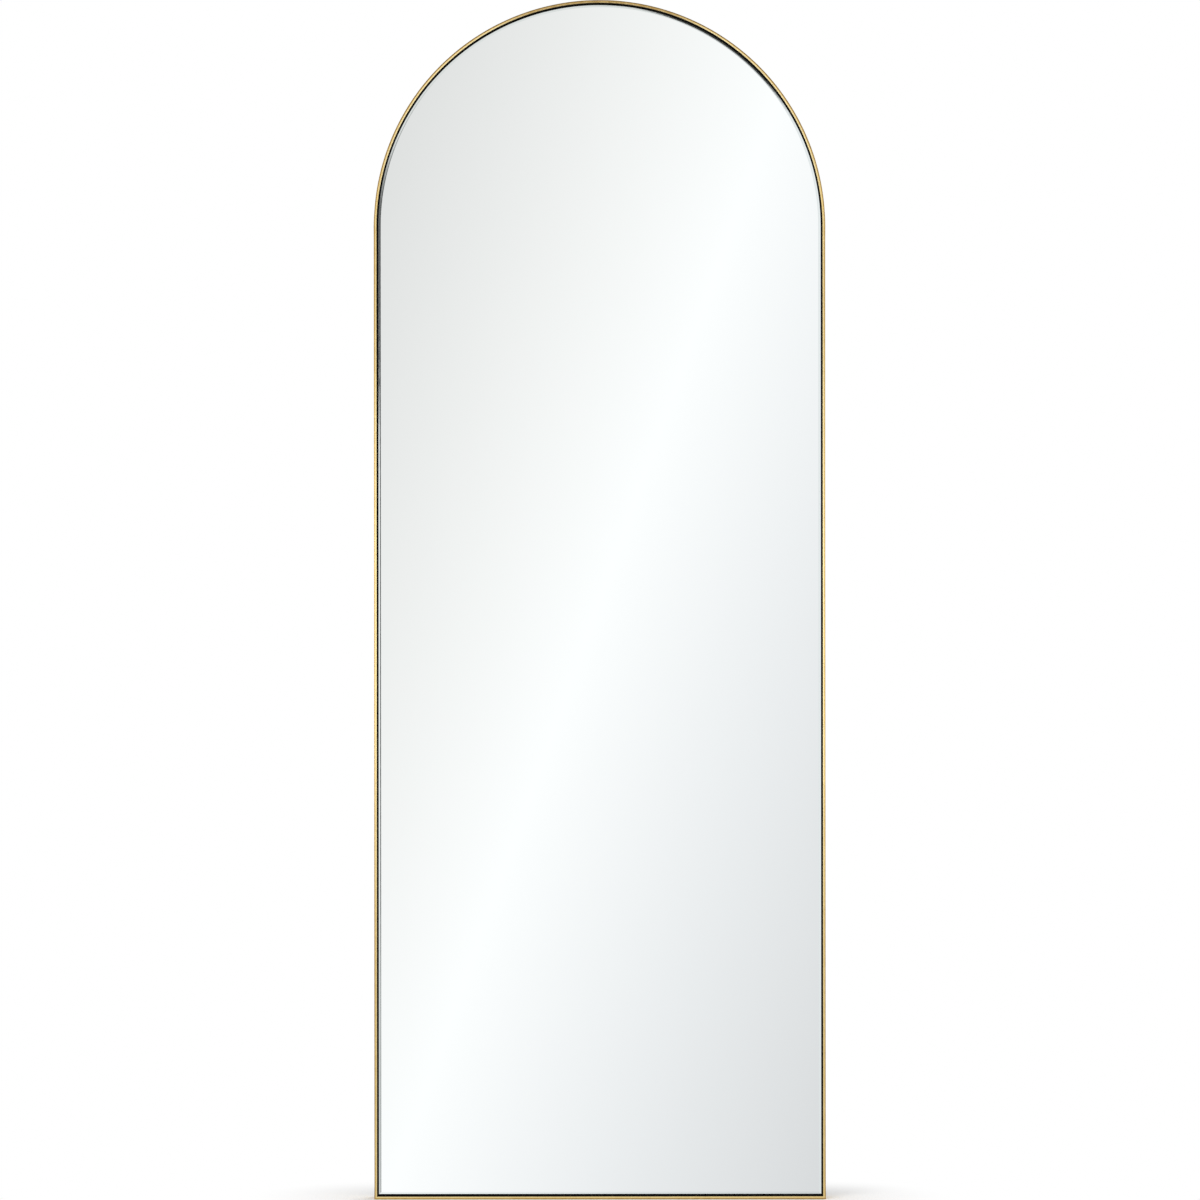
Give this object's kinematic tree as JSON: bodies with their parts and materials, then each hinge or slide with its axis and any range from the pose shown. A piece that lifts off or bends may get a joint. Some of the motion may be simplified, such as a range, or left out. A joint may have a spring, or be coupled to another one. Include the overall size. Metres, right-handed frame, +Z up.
{
  "type": "full-length mirror",
  "caption": "Tall mirror with a half-round top in a thin gold-leafed flat-bar frame, the glass set back behind a black gap, to lean on a wall or hang from D-rings.",
  "frame": {"origin": "middle of the bottom rail's underside", "axes": "+Z up, -Y out of the front of the glass, +X to the right seen from the front"},
  "size_m": [0.61, 0.034, 1.6199],
  "materials": {
    "gold_leaf": "hand-laid gold leaf, toned brown on the outer edge, black inside",
    "silvered_glass": "silvered float glass with a ground arris",
    "foam_tape": "foam mirror tape",
    "black_board": "fibreboard painted matt black",
    "black_steel": "satin black paint",
    "plated_steel": "bright zinc plate",
    "screw_steel": "yellow zinc plate",
    "bumper_rubber": "moulded rubber"
  },
  "bodies": {
    "mirror": {"frame_arch": "gold_leaf", "frame_left_stile": "gold_leaf", "frame_right_stile": "gold_leaf", "frame_bottom_rail": "gold_leaf", "mirror_glass": "silvered_glass", "mounting_tape": "foam_tape", "backing_board": "black_board", "lug_right_1": "black_steel", "lug_right_2": "black_steel", "lug_right_3": "black_steel", "lug_left_1": "black_steel", "lug_left_2": "black_steel", "lug_left_3": "black_steel", "lug_arch_1": "black_steel", "lug_arch_2": "black_steel", "lug_arch_3": "black_steel", "lug_bottom_left": "black_steel", "lug_bottom_right": "black_steel", "hanger_strap_left": "plated_steel", "hanger_strap_right": "plated_steel", "lug_screws": "screw_steel", "hanger_screws": "screw_steel", "bumper_screws": "screw_steel", "wall_bumper_lower_left": "bumper_rubber", "wall_bumper_lower_right": "bumper_rubber", "wall_bumper_upper_left": "bumper_rubber", "wall_bumper_upper_right": "bumper_rubber"},
    "ring_left": {"hanger_ring_left": "plated_steel"},
    "ring_right": {"hanger_ring_right": "plated_steel"}
  },
  "joints": [
    {"name": "ring_left_swing", "type": "hinge", "parent": "mirror", "child": "ring_left", "pos_m": [-0.203, 0.0091, 1.24], "axis": [1, 0, 0], "range_deg": [0, 180]},
    {"name": "ring_right_swing", "type": "hinge", "parent": "mirror", "child": "ring_right", "pos_m": [0.203, 0.0091, 1.24], "axis": [1, 0, 0], "range_deg": [0, 180]}
  ]
}
